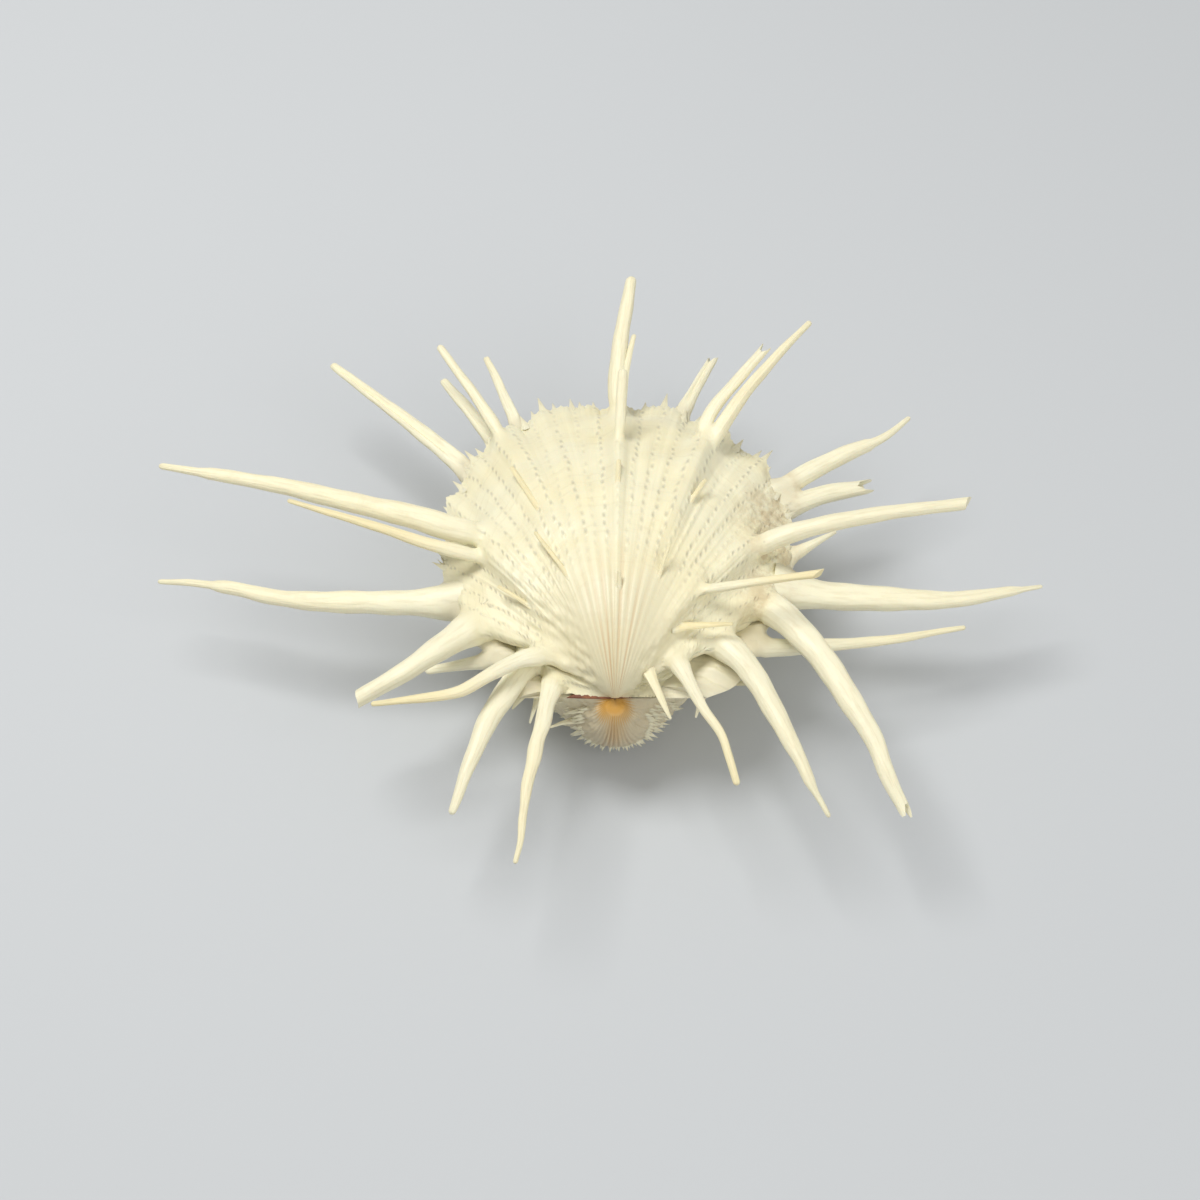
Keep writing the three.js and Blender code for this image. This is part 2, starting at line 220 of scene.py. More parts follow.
def tubeFaces(start, rings, sides):
    # the faces of a closed tube whose rings follow each other from the point numbered start
    faces = []
    for r in range(rings - 1):
        low, high = start + r * sides, start + (r + 1) * sides
        for i in range(sides):
            j = (i + 1) % sides
            faces.append((low + i, low + j, high + j, high + i))
    last = start + (rings - 1) * sides
    faces.append(tuple(range(start + sides - 1, start - 1, -1)))
    faces.append(tuple(range(last, last + sides)))
    return faces


def faceOut(points, faces):
    # turns every face round if the closed mesh is inside out
    points = np.asarray(points)
    fans = [(f[0], f[i], f[i + 1]) for f in faces for i in range(1, len(f) - 1)]
    a, b, c = (points[[f[i] for f in fans]] for i in range(3))
    if np.einsum("ij,ij->i", a, np.cross(b, c)).sum() < 0:
        return [tuple(reversed(f)) for f in faces]
    return faces


def marginEdge(form, place):
    # how far the margin stands out or in from its plain line, as a share of the valve
    dice = np.random.default_rng(form["seed"] + 1)
    number = np.floor(np.asarray(place) * form["ribs"] + 0.5).astype(int)
    each = dice.uniform(0, 1, form["ribs"] + 2)[number]
    crest = (0.5 + 0.5 * np.cos(2 * math.pi * place * form["ribs"])) ** 1.5
    edge = 0.017 * each * crest + 0.0025 * np.sin(place * 911) + 0.002 * np.sin(place * 1733)
    edge += sum(1.4 * size * bell(place, centre, 0.016) for centre, size in form["lobes"]) - 0.017
    return edge * smooth(np.minimum(place, 1 - place), 0.02, 0.08)


def earWrinkles(points):
    return 0.7 * ripple(points, 4.5, 31) + 0.4 * ripple(points, 2.2, 32)


# bumps of the outer face: height and size, in mm
skin = {"swell": (0.3, 16), "dimple": (0.12, 5), "flankFold": (0.3, 4.2), "flankWrinkle": (0.2, 2.1),
        "crustLump": (0.22, 3.4), "crustGrain": (0.16, 1.5)}


def skinBump(kind, points, seed):
    high, size = skin[kind]
    return high * ripple(points, size, seed)


def valveMesh(form, name, roundSteps=480, growSteps=134, liningEvery=16, rimRows=6):
    place = np.linspace(0, 1, roundSteps + 1)
    left = np.linspace(1, 0, growSteps + 1)
    stages = form["tip"] + (1 - form["tip"]) * left ** 1.22
    edge = marginEdge(form, place)
    middle = np.array([0, hingeY, seamHeight + form["seam"]])
    ends = smooth(np.minimum(place, 1 - place), 0, 0.03)
    liningPlace = place[::liningEvery]
    rings, growth = [], []
    for stage in stages:
        base = outerFace(form, place, stage)
        base = base + (edge * smooth(stage, 0.85, 1))[:, None] * (base - middle)
        relief = ribRelief(form, place, stage)
        relief += skinBump("swell", base, form["seed"]) * smooth(stage, 0.1, 0.4)
        relief += skinBump("dimple", base, form["seed"] + 9) * smooth(stage, 0.3, 0.6)
        relief += 0.05 * np.sin(stage * 95 + 2 * np.sin(place * 9)) * stage
        relief += 0.04 * np.sin(stage * 41 + 3 * np.cos(place * 7)) * stage
        flank = smooth(np.abs(place - 0.5), 0.13, 0.26) * (1 - smooth(stage, 0.4, 0.7))
        flank = flank * smooth(stage, 0.05, 0.15)
        relief += flank * (skinBump("flankFold", base, 21) + skinBump("flankWrinkle", base, 22))
        crust = crustAmount(form, place, stage)
        relief += crust * (skinBump("crustLump", base, 11) + skinBump("crustGrain", base, 12))
        push = outward(form, place, np.full_like(place, stage)) * (relief * ends)[:, None]
        push[:, 2] *= 1 - smooth(stage, 0.965, 1)
        outer = base + push
        if form is lowerForm:
            outer[:, 2] = np.maximum(outer[:, 2], 0)
        lining = liningFace(form, liningPlace, stage)
        rings.append(np.vstack([outer, lining[::-1]]))
        growth.append(np.stack([place, np.full_like(place, stage), crust], -1))
    # rows across the rim, wrinkled where the lower valve's ears lie bare
    rimLining = liningFace(form, place, 1)
    wide = np.linalg.norm(rimLining - rings[0][: roundSteps + 1], axis=1)
    bare = smooth(wide, 4, 8)
    rows = []
    for row in range(1, rimRows + 1):
        share = row / (rimRows + 1)
        across = rings[0][: roundSteps + 1] * (1 - share) + rimLining * share
        lift = bare * math.sin(math.pi * min(share * 1.25, 1)) * (1.5 + earWrinkles(across))
        if form is lowerForm:
            across[:, 2] += lift
        rows.append(across)
        growth.append(np.stack([place, np.full_like(place, 1 - 0.04 * share), 0 * place], -1))

    count = len(rings[0])
    faces = []
    for r in range(growSteps):
        low, high = r * count, (r + 1) * count
        for i in range(count):
            j = (i + 1) % count
            faces.append((low + i, low + j, high + j, high + i))
    last, extra = growSteps * count, (growSteps + 1) * count
    line = [list(range(roundSteps + 1))]
    line += [[extra + r * (roundSteps + 1) + i for i in range(roundSteps + 1)] for r in range(rimRows)]
    for outerRow, innerRow in zip(line, line[1:]):
        for i in range(roundSteps):
            faces.append((outerRow[i + 1], outerRow[i], innerRow[i], innerRow[i + 1]))
    faces.append((count - 1, *[row[0] for row in reversed(line)]))
    faces.append((roundSteps + 1, *[row[-1] for row in line]))
    tipLine = [last + i for i in range(roundSteps + 1)]
    for i in range(roundSteps // liningEvery):
        near, far = count - 1 - i, count - 2 - i
        for start, edgeLine, flip in ((0, line[-1], 1), (last, tipLine, -1)):
            rim = edgeLine[i * liningEvery: (i + 1) * liningEvery + 1]
            for a, b in zip(rim, rim[1:]):
                faces.append((a, start + near, b)[::flip])
            faces.append((rim[-1], start + near, start + far)[::flip])
    points = np.vstack([*rings, *rows])
    made = makeObject(name, points, faceOut(points, faces))
    grid = [ring[: roundSteps + 1] for ring in rings] + rows
    return made, np.vstack(grid), np.vstack(growth)


def throughCurve(points, shares):
    # a centripetal curve through the points, read at shares of its length
    points = np.array(points, float)
    padded = np.vstack([2 * points[0] - points[1], points, 2 * points[-1] - points[-2]])
    fine = []
    for i in range(len(points) - 1):
        p = padded[i:i + 4]
        knots = np.r_[0, np.cumsum(np.linalg.norm(np.diff(p, axis=0), axis=1) ** 0.5)]
        t = np.linspace(knots[1], knots[2], 60, endpoint=False)[:, None]

        def blend(a, b, low, high):
            return ((high - t) * a + (t - low) * b) / (high - low)

        ab, bc, cd = (blend(p[k], p[k + 1], knots[k], knots[k + 1]) for k in range(3))
        fine.append(blend(blend(ab, bc, knots[0], knots[2]), blend(bc, cd, knots[1], knots[3]),
                          knots[1], knots[2]))
    fine = np.vstack([*fine, points[-1:]])
    length = np.r_[0, np.cumsum(np.linalg.norm(np.diff(fine, axis=0), axis=1))]
    at = np.asarray(shares) * length[-1]
    centre = np.stack([np.interp(at, length, fine[:, k]) for k in range(3)], -1)
    ahead = np.stack([np.interp(at + 0.4, length, fine[:, k]) for k in range(3)], -1)
    behind = np.stack([np.interp(at - 0.4, length, fine[:, k]) for k in range(3)], -1)
    along = ahead - behind
    return centre, along / np.linalg.norm(along, axis=1, keepdims=True), length[-1]


def spineWidth(wide, share):
    start, middle, end = wide
    bend = 2 * start + 2 * end - 4 * middle
    return start + (4 * middle - 3 * start - end) * share + bend * share * share


spineShape = {"flatness": 0.78, "sides": 18, "stepMm": 1.4, "flareMm": 5.5, "flare": 0.55}
needleShape = {"flatness": 0.5, "sides": 10, "stepMm": 1.4, "flareMm": 2, "flare": 0.3}


def spinePath(form, spine):
    place, grown = spine["at"]
    wide = spine["wide"][0]
    root = outerFace(form, place, grown) - 0.25 * wide * outward(form, place, grown)
    points = [root] + [np.array([x, y + hingeY, z + seamHeight]) for x, y, z in spine["through"]]
    if spine.get("run", 1) < 1:
        earlier = grown * spine["run"]
        points.insert(0, outerFace(form, place, earlier) - 0.75 * wide * outward(form, place, earlier))
    return points


def spineMesh(form, spine, name, seed, shape):
    dice = np.random.default_rng(seed)
    sides = shape["sides"]
    points = spinePath(form, spine)
    rough = sum(np.linalg.norm(b - a) for a, b in zip(points, points[1:]))
    end = spine.get("end", "round")
    tipRadius = spine["wide"][2] / 2
    steps = max(6, int(rough / shape["stepMm"]))
    turnIn = 1 - tipRadius / rough
    shares = np.linspace(0, turnIn, steps)
    if end == "round":
        shares = np.r_[shares, turnIn + (1 - turnIn) * np.array([0.45, 0.75, 0.93, 1])]
    else:
        shares = np.r_[shares, 1]
    centre, along, length = throughCurve(points, shares)
    half = np.maximum(spineWidth(spine["wide"], shares), 0.35) / 2
    rootMm = length * shares
    if "step" in spine:
        half = half * (1 - 0.28 * smooth(shares, spine["step"] - 0.015, spine["step"] + 0.02))
    wander = spine.get("kinks", 0.12) * smooth(shares, 0.1, 0.35) * smooth(1 - shares, 0, 0.15)
    centre = centre + wander[:, None] * np.stack([ripple(centre, 16, seed + k) for k in range(3)], -1)
    half = half * (1 + spine.get("flare", shape["flare"]) * np.exp(-(rootMm / shape["flareMm"]) ** 2))
    bumpy = spine.get("bumpy", 0.05)
    wave = dice.uniform(0, 6.3, 4)
    half = half * (1 + bumpy * np.sin(rootMm / 2.3 + wave[0]) * np.sin(rootMm / 5.1 + wave[1]))
    if end == "round":
        inTip = np.clip((shares - turnIn) / (1 - turnIn), 0, 1)
        half = half * np.sqrt(np.maximum(1 - inTip ** 2, 0.004))
    angle = np.arange(sides) * 2 * math.pi / sides
    ridges = (1 + 0.035 * np.cos(3 * angle + wave[2]) + 0.03 * np.cos(5 * angle + wave[3]))
    groove = spine.get("groove", 0)
    rings, maps = [], []
    for k in range(len(shares)):
        across = np.cross((0, 0, 1), along[k])
        across /= np.linalg.norm(across)
        up = np.cross(along[k], across)
        x = np.cos(angle) * ridges
        z = np.sin(angle) * ridges * shape["flatness"]
        z = z - groove * smooth(shares[k], 0.05, 0.3) * bell(x, 0.1, 0.35) * (np.sin(angle) > 0)
        ring = centre[k] + half[k] * (x[:, None] * across + z[:, None] * up)
        if k == len(shares) - 1 and end != "round":
            slant = spine.get("slant", 0) * x * half[k]
            notch = np.sin(angle * 2 + wave[1]) + dice.uniform(-0.6, 0.6, sides)
            jag = notch * (0.8 if end == "broken" else 0.12) * half[k]
            ring = ring + (slant + jag)[:, None] * along[k]
        rings.append(ring)
        maps.append(np.stack([np.cos(angle), np.sin(angle), np.full(sides, rootMm[k])], -1))
    if end == "broken":
        deep = spine.get("hollow", 1.2)
        rim = rings[-1] - centre[-1]
        for inset, depth in ((0.66, 0.3), (0.55, 1)):
            inside = centre[-1] - along[-1] * half[-1] * deep * depth
            rings.append(inside + inset * rim)
            maps.append(maps[-1])
    faces = tubeFaces(0, len(rings), sides)
    points = np.vstack(rings)
    tint = np.full((len(points), 1), spine.get("tint", 0.15))
    return makeObject(name, points, faceOut(points, faces)), points, np.hstack([np.vstack(maps), tint])


# at: place round the margin and growth where the spine leaves its rib; run: how far back along the
# rib it starts; through: points in mm from the middle of the hinge; wide: width at root, middle, tip;
# step: share of the length at which it suddenly narrows; kinks: how much it wanders, in mm
upperSpines = [
    {"at": (0.277, 0.72), "run": 0.8, "wide": (8, 5.3, 2.4), "tint": 0.3, "step": 0.88, "kinks": 0.3,
     "through": [(-38.5, 41.5, 11), (-49, 44.5, 12), (-68, 48.5, 14), (-87.5, 53, 15), (-107.5, 57, 15)]},
    {"at": (0.247, 0.7), "run": 0.8, "wide": (4.6, 2.9, 1.1), "tint": 0.8,
     "through": [(-39.5, 35, 11), (-58.5, 39.5, 15), (-76, 43, 19)]},
    {"at": (0.373, 0.9), "run": 0.8, "wide": (5.8, 3.4, 1.8), "tint": 0.2,
     "through": [(-32, 83.5, 6), (-43, 100, 10)]},
    {"at": (0.5, 0.88), "run": 0.8, "wide": (5.2, 4.4, 2.6), "tint": 0.2,
     "through": [(1, 92, 10.5), (2.5, 105, 13.5), (4.5, 117.5, 16)]},
    {"at": (0.5, 0.72), "run": 0.85, "wide": (3.2, 2.8, 2.3), "tint": 0.2,
     "through": [(1.5, 72.5, 17), (2, 81.5, 22)]},
    {"at": (0.603, 0.82), "run": 0.8, "wide": (5.6, 3.6, 1.5), "tint": 0.35, "groove": 0.35,
     "through": [(27, 75.5, 11), (37.5, 90, 14), (48, 101.5, 17)]},
    {"at": (0.597, 0.81), "run": 0.85, "wide": (4.2, 3.4, 2.4), "end": "broken", "groove": 0.3,
     "through": [(23, 76.5, 10.5), (36.5, 94, 15)]},
    {"at": (0.737, 0.7), "run": 0.8, "wide": (7, 4.5, 3.1), "end": "cut", "slant": 0.6,
     "through": [(43, 40, 11.5), (62, 43, 14), (82.5, 45.5, 15)]},
    {"at": (0.71, 0.4), "run": 0.8, "wide": (4.2, 2.3, 2.1), "tint": 0.9, "end": "cut", "slant": 1.2,
     "through": [(27, 21, 15), (46.5, 20.5, 20)]},
    {"at": (0.82, 0.85), "wide": (7.4, 5.9, 2.8), "tint": 0.1, "end": "broken", "kinks": 0.3,
     "through": [(41, 18, 4.5), (50.5, 1.5, 5.5), (58, -14, 4), (60.5, -22, 2.5), (64.5, -31, 0)]},
    {"at": (0.867, 0.69), "wide": (7, 4.8, 1.4), "tint": 0.2, "step": 0.86, "kinks": 0.25,
     "through": [(30.5, 4.5, 5.5), (38.5, -15, 6), (44, -27, 3.5), (47.5, -33.5, 1)]},
    {"at": (0.857, 0.4), "wide": (4.6, 2.4, 1.7), "tint": 0.7,
     "through": [(17, -1.5, 7.5), (20, -9.5, 8.5), (23.8, -17, 9), (25.3, -22.5, 8.5), (27, -29, 7)]},
    {"at": (0.143, 0.84), "wide": (9, 5.8, 4), "tint": 0.1, "end": "cut", "slant": 0.4,
     "through": [(-38.5, 12.5, 4.5), (-48.5, 3.5, 5), (-58.5, -1.5, 2)]},
    {"at": (0.14, 0.41), "wide": (4.4, 3.0, 1.2), "tint": 0.85, "kinks": 0.2,
     "through": [(-22, 5.5, 7), (-28, 1, 8.5), (-34, -4.4, 9.5), (-36, -5.3, 9.5), (-46, -7.5, 9.5),
                 (-55, -7.5, 8)]},
    {"at": (0.06, 0.95), "wide": (6.6, 4.8, 1.6), "tint": 0.1, "kinks": 0.25,
     "through": [(-24.5, 1, 2), (-31, -14.5, 3), (-36.5, -32, 0)]},
    {"at": (0.035, 0.85), "wide": (4.6, 3.1, 1), "tint": 0.4, "bumpy": 0.11, "kinks": 0.35,
     "through": [(-15.5, -4, 3.5), (-19, -23.5, 5), (-20.5, -39.5, 4.5), (-22, -47, 3)]},
]
upperNeedles = [
    {"at": (0.497, 0.46), "through": [(1, 56, 18.5)], "wide": (1.5, 1.36, 1.09), "tint": 0.6},
    {"at": (0.507, 0.28), "through": [(1, 21.5, 20)], "wide": (1.22, 1.09, 0.88), "tint": 0.5},
    {"at": (0.37, 0.55), "through": [(-24.5, 58.5, 13)], "wide": (1.63, 1.5, 1.16), "tint": 0.8},
    {"at": (0.367, 0.35), "through": [(-18.5, 34.5, 18)], "wide": (1.36, 1.22, 0.95), "tint": 0.8},
    {"at": (0.23, 0.44), "through": [(-27, 24, 11)], "wide": (1.29, 1.09, 0.88), "tint": 0.8},
    {"at": (0.613, 0.56), "through": [(21.5, 52.5, 15.5)], "wide": (1.36, 1.22, 0.88), "tint": 0.7},
    {"at": (0.617, 0.34), "through": [(12.5, 29, 20)], "wide": (1.22, 1.02, 0.82), "tint": 0.6},
    {"at": (0.5, 0.85), "through": [(2.8, 90, 11), (5, 101, 13)], "wide": (2.4, 2, 1.1), "tint": 0.3},
    {"at": (0.747, 0.32), "through": [(27, 13, 11)], "wide": (2.8, 1.8, 0.9), "tint": 0.9},
    {"at": (0.81, 0.19), "through": [(9.5, -2, 6), (12.5, -11, 7)], "wide": (2.6, 1.9, 0.6), "tint": 0.4},
]
lowerNeedles = [
    {"at": (0.723, 0.443), "through": [(32.5, 10, -8)], "wide": (3, 2, 1.4), "tint": 0.2, "end": "broken"},
    {"at": (0.205, 0.219), "through": [(-12, -0.5, -9), (-15, -2.5, -8)], "wide": (2, 1.2, 0.6),
     "tint": 0.1},
    {"at": (0.02, 0.8), "through": [(-23.5, -2, -1.5)], "wide": (3, 1.8, 0.5), "tint": 0.1},
    {"at": (0.05, 0.6), "through": [(-19.5, -3.5, -5)], "wide": (2.6, 1.4, 0.5), "tint": 0.1},
    {"at": (0.97, 0.75), "through": [(18.5, -3, -3.5)], "wide": (2.4, 1.3, 0.5), "tint": 0.1},
]
lowerSpines = [
    {"at": (0.155, 0.91), "wide": (7.8, 4.9, 1.9), "tint": 0.25, "step": 0.8, "kinks": 0.3, "bumpy": 0.07,
     "through": [(-54, 28.5, -1), (-68, 29, -1), (-78, 31, -2), (-93, 35, -3), (-108.3, 38, -5)]},
    {"at": (0.317, 0.96), "wide": (5.4, 3.8, 2), "groove": 0.6,
     "through": [(-46.5, 81.5, -2), (-70.5, 105.5, -3)]},
    {"at": (0.363, 0.97), "wide": (3.8, 3.2, 2), "groove": 0.35,
     "through": [(-34, 85.5, -0.5), (-42.5, 99.5, -2)]},
    {"at": (0.39, 0.97), "wide": (3.4, 2.6, 1.5), "groove": 0.35, "tint": 0.4,
     "through": [(-25, 88, -1.5), (-32, 108, -3)]},
    {"at": (0.563, 0.97), "wide": (3.8, 3.1, 2.4), "groove": 0.45, "end": "broken",
     "through": [(17, 88, -1), (24.5, 105, -1)]},
    {"at": (0.703, 0.96), "wide": (5.6, 4.4, 1.6), "step": 0.7, "groove": 0.25,
     "through": [(46.5, 67.5, 0), (55, 72.5, 0.5), (64.5, 77.5, 0.5), (72.5, 84.5, 1)]},
    {"at": (0.715, 0.94), "wide": (6.2, 5, 3.7), "end": "broken", "hollow": 2.6,
     "through": [(50.5, 61.5, -1), (60.5, 63, 0)]},
    {"at": (0.79, 0.96), "wide": (3.6, 2.4, 0.7), "through": [(53, 50, -1)]},
    {"at": (0.823, 0.93), "wide": (8.6, 5.6, 1.4), "step": 0.9, "groove": 0.15,
     "through": [(49, 31.5, -2), (63, 31, -2.5), (80, 31, -3), (101.5, 36.5, -5)]},
    {"at": (0.903, 0.9), "wide": (4.6, 2.8, 1.2), "tint": 0.35, "kinks": 0.2,
     "through": [(38.5, 16, -2), (62.5, 20, -4.5), (82.5, 25, -6)]},
    {"at": (0.07, 0.86), "wide": (3.4, 2.8, 2), "tint": 0.2, "through": [(-36, 12, -3.5), (-44, 11.5, -5)]},
]


def underThorns():
    thorns = []
    for place in np.arange(0.2, 0.85, 0.0625):
        grown = 0.74 + 0.06 * math.cos(9 * math.pi * place)
        foot = outerFace(lowerForm, place, grown)
        rim = outerFace(lowerForm, place, 1)
        out = np.array([rim[0], rim[1] - 10, 0])
        tip = foot + out / np.linalg.norm(out) * (9 + 4 * math.sin(math.pi * place))
        through = [(tip[0], tip[1] - hingeY, tip[2] - seamHeight - 1.5)]
        thorns.append({"at": (place, grown), "through": through, "wide": (3.4, 1.8, 0.7), "tint": 0.1})
    return thorns


def thornMesh(form, thorns, name, sides=6):
    # many small curved cones in one mesh: (place, growth, length, width, lean) each
    points, faces, maps = [], [], []
    for place, grown, length, wide, lean in thorns:
        onMargin = grown > 0.96
        root = outerFace(form, place, grown + float(marginEdge(form, place)) * onMargin)
        normal = outward(form, place, grown)
        ahead = outerFace(form, place, grown * 1.02) - outerFace(form, place, grown)
        ahead = ahead / np.linalg.norm(ahead)
        across = np.cross(ahead, normal)
        start = len(points)
        for share, thick in ((-0.35, 1.25), (0.25, 0.8), (0.65, 0.42), (1, 0.08)):
            rise = length * share
            middle = root + normal * rise * (1 - lean * 0.5) + ahead * rise * lean * (0.6 + 0.4 * share)
            for i in range(sides):
                turn = 2 * math.pi * i / sides
                points.append(middle + wide / 2 * thick * (math.cos(turn) * across + math.sin(turn) * ahead))
                maps.append((math.cos(turn), math.sin(turn), max(rise, 0), 0.3))
        faces += tubeFaces(start, 4, sides)
    points = np.array(points)
    return makeObject(name, points, faceOut(points, faces)), points, np.array(maps)


def join(base, others):
    for other in others:
        step = base.modifiers.new("join", "BOOLEAN")
        step.operation = "UNION"
        step.solver = "MANIFOLD"
        step.object = other
    bpy.context.view_layer.update()
    graph = bpy.context.evaluated_depsgraph_get()
    fresh = bpy.data.meshes.new_from_object(base.evaluated_get(graph))
    base.modifiers.clear()
    old = base.data
    base.data = fresh
    bpy.data.meshes.remove(old)
    for other in others:
        bpy.data.objects.remove(other)


def treeOf(points):
    tree = KDTree(len(points))
    for i, point in enumerate(points):
        tree.insert(point, i)
    tree.balance()
    return tree


def readPoints(mesh):
    flat = np.empty(len(mesh.vertices) * 3)
    mesh.vertices.foreach_get("co", flat)
    return flat.reshape(-1, 3) / metresPerMm


def finishValve(valve, grid, growth, grownParts, largeParts, reach=2.8, rounds=22):
    # softens the joints between body and spines, then writes the maps that the finish reads
    mesh = valve.data
    points = readPoints(mesh)
    spinePoints = np.vstack([part[1] for part in grownParts])
    spineMaps = np.vstack([part[2] for part in grownParts])
    largeCount = sum(len(part[1]) for part in grownParts[:largeParts])
    bodyTree, spineTree = treeOf(grid), treeOf(spinePoints)
    onBody = [bodyTree.find(p) for p in points]
    onSpine = [spineTree.find(p) for p in points]
    bodyAway = np.array([hit[2] for hit in onBody])
    spineAway = np.array([hit[2] for hit in onSpine])
    onLarge = np.array([hit[1] for hit in onSpine]) < largeCount
    joint = (np.minimum(bodyAway, spineAway) > 1e-3) & (spineAway < 1.5) & (bodyAway < 1.5) & onLarge
    jointTree = treeOf(points[joint])
    away = np.array([jointTree.find(p)[2] for p in points])
    small = ~onLarge & (spineAway < 0.02)
    pull = (1 - smooth(away, 0.2 * reach, reach)) * 0.65 * ~small
    edges = np.empty(len(mesh.edges) * 2, int)
    mesh.edges.foreach_get("vertices", edges)
    one, two = edges.reshape(-1, 2).T
    degree = np.bincount(one, minlength=len(points)) + np.bincount(two, minlength=len(points))
    for _ in range(rounds):
        total = np.zeros_like(points)
        for axis in range(3):
            total[:, axis] = (np.bincount(one, points[two, axis], len(points))
                              + np.bincount(two, points[one, axis], len(points)))
        points = points + pull[:, None] * (total / degree[:, None] - points)
    points[:, 2] = np.maximum(points[:, 2], 0)
    mesh.vertices.foreach_set("co", (points * metresPerMm).ravel())
    growthMap = growth[[hit[1] for hit in onBody]]
    spineMap = spineMaps[[hit[1] for hit in onSpine]]
    offBody = smooth(bodyAway, 0.3, 4)
    tinted = spineMap[:, 3] * np.where(onLarge, smooth(spineMap[:, 2], 10, 38), smooth(spineMap[:, 2], 0, 2))
    offBody = np.where(small, smooth(bodyAway, 0.02, 0.2), offBody)
    tone = np.stack([tinted, offBody, growthMap[:, 2] * (1 - offBody)], -1)
    layers = {"growthMap": growthMap * (1, 1, 0), "spineMap": spineMap[:, :3], "tone": tone}
    for label, values in layers.items():
        layer = mesh.attributes.new(label, "FLOAT_VECTOR", "POINT")
        layer.data.foreach_set("vector", values.ravel())
    mesh.materials.clear()
    mesh.polygons.foreach_set("material_index", [0] * len(mesh.polygons))
    mesh.shade_smooth()
    mesh.set_sharp_from_angle(angle=math.radians(55))
    mesh.update()
    triangles = sum(len(face.vertices) - 2 for face in mesh.polygons)
    say(f"{valve.name}: {len(mesh.vertices)} points, {triangles} triangles")


def growValve(form, name, spines, needles, thorns):
    form["spines"] = spines
    body, grid, growth = valveMesh(form, name)
    say(f"{name} body")
    made = []
    for label, few, seed, shape in (("Spine", spines, 20, spineShape), ("Needle", needles, 80, needleShape)):
        made += [spineMesh(form, spine, f"{name}{label}{i}", seed + i, shape) for i, spine in enumerate(few)]
    made.append(thornMesh(form, thorns, name + "Thorns"))
    join(body, [part[0] for part in made])
    say(f"{name} joined")
    finishValve(body, grid, growth, made, len(spines))
    return body


# larger thorns of the margin: place and length in mm
upperMarginThorns = [(0.426, 4.6), (0.543, 4.8), (0.454, 3.2), (0.462, 2.2), (0.38, 2.4), (0.403, 2.6),
                     (0.335, 3.2), (0.345, 2.2), (0.3, 2.4), (0.24, 2.6), (0.66, 3.6), (0.652, 2.4),
                     (0.69, 2.8), (0.565, 2.6), (0.555, 2), (0.2, 2.2), (0.215, 1.6), (0.415, 2),
                     (0.437, 2.4), (0.475, 2), (0.525, 2.2), (0.58, 1.8), (0.63, 2.4), (0.7, 2.2),
                     (0.26, 2), (0.32, 2)]


def marginThorns(form, seed, large=()):
    dice = random.Random(seed)
    thorns = [(place, 0.985, 1.3 * length, 1 + 0.34 * length, 1.5) for place, length in large]
    for rib in range(5, form["ribs"] - 4):
        place = (rib + dice.uniform(-0.35, 0.35)) / form["ribs"]
        if dice.random() < 0.8:
            length = dice.uniform(0.8, 2.3)
            grown = dice.uniform(0.97, 0.99)
            thorns.append((place, grown, length, 0.8 + 0.35 * length, dice.uniform(1.1, 1.6)))
    return thorns


# rows of little thorns under the lower beak: growth at which each row stands, and length in mm
umboRows = [(0.185, 2.2), (0.22, 2.6), (0.27, 2.2), (0.33, 1.9), (0.42, 1.7), (0.52, 1.5)]


def umboThorns(form, seed):
    dice = random.Random(seed)
    thorns = []
    for rib in range(6, 2 * form["ribs"] - 5):
        place = (rib / 2 + dice.uniform(-0.12, 0.12)) / form["ribs"]
        for grown, size in umboRows:
            foot = outerFace(form, place, grown)
            if dice.random() < 0.7 and foot[2] > 4:
                length = size * dice.uniform(0.6, 1.3)
                thorns.append((place, grown * dice.uniform(0.96, 1.04), length, 0.35 + 0.25 * length, 0.8))
    return thorns


upperValve = growValve(upperForm, "upperShell", upperSpines, upperNeedles,
                       marginThorns(upperForm, 1, upperMarginThorns))
lowerValve = growValve(lowerForm, "lowerShell", lowerSpines + underThorns(), lowerNeedles,
                       marginThorns(lowerForm, 2) + umboThorns(lowerForm, 3))


ligamentShape = {"thick": 0.9, "steps": 44, "sides": 12, "front": 0.3, "back": 2.5}


def makeLigament():
    # a wrinkled leathery strip, thickest in the middle
    shape = ligamentShape
    low, high = ligamentLow / metresPerMm, ligamentHigh / metresPerMm
    rings = []
    for k in range(shape["steps"] + 1):
        share = k / shape["steps"]
        x = low.x + (high.x - low.x) * share
        body = 4 * share * (1 - share)
        front = hingeY - shape["front"] * body - 0.02
        back = hingeY + shape["back"] * body + 0.02
        half = shape["thick"] / 2 * (0.35 + 0.6 * body)
        wrinkle = 1 + 0.12 * math.sin(share * 47) + 0.08 * math.sin(share * 101)
        ring = []
        for i in range(shape["sides"]):
            turn = 2 * math.pi * i / shape["sides"]
            y = (front + back) / 2 + (back - front) / 2 * math.cos(turn)
            z = (low.z + high.z) / 2 + min(half * wrinkle, shape["thick"] / 2) * math.sin(turn)
            ring.append((x, y, z))
        rings.append(ring)
    faces = tubeFaces(0, len(rings), shape["sides"])
    points = np.array([p for ring in rings for p in ring])
    made = makeObject("ligament", points, faceOut(points, faces))
    made.data.shade_smooth()
    return made


ligament = makeLigament()
say("ligament")


def addNode(tree, kind, **settings):
    node = tree.nodes.new(kind)
    for key, value in settings.items():
        setattr(node, key, value)
    return node


def feed(socket, value):
    if isinstance(value, bpy.types.NodeSocket):
        socket.id_data.links.new(value, socket)
    else:
        socket.default_value = value


def homeOf(*values):
    # the node tree that the sockets among the values are in
    return next(value.id_data for value in values if isinstance(value, bpy.types.NodeSocket))


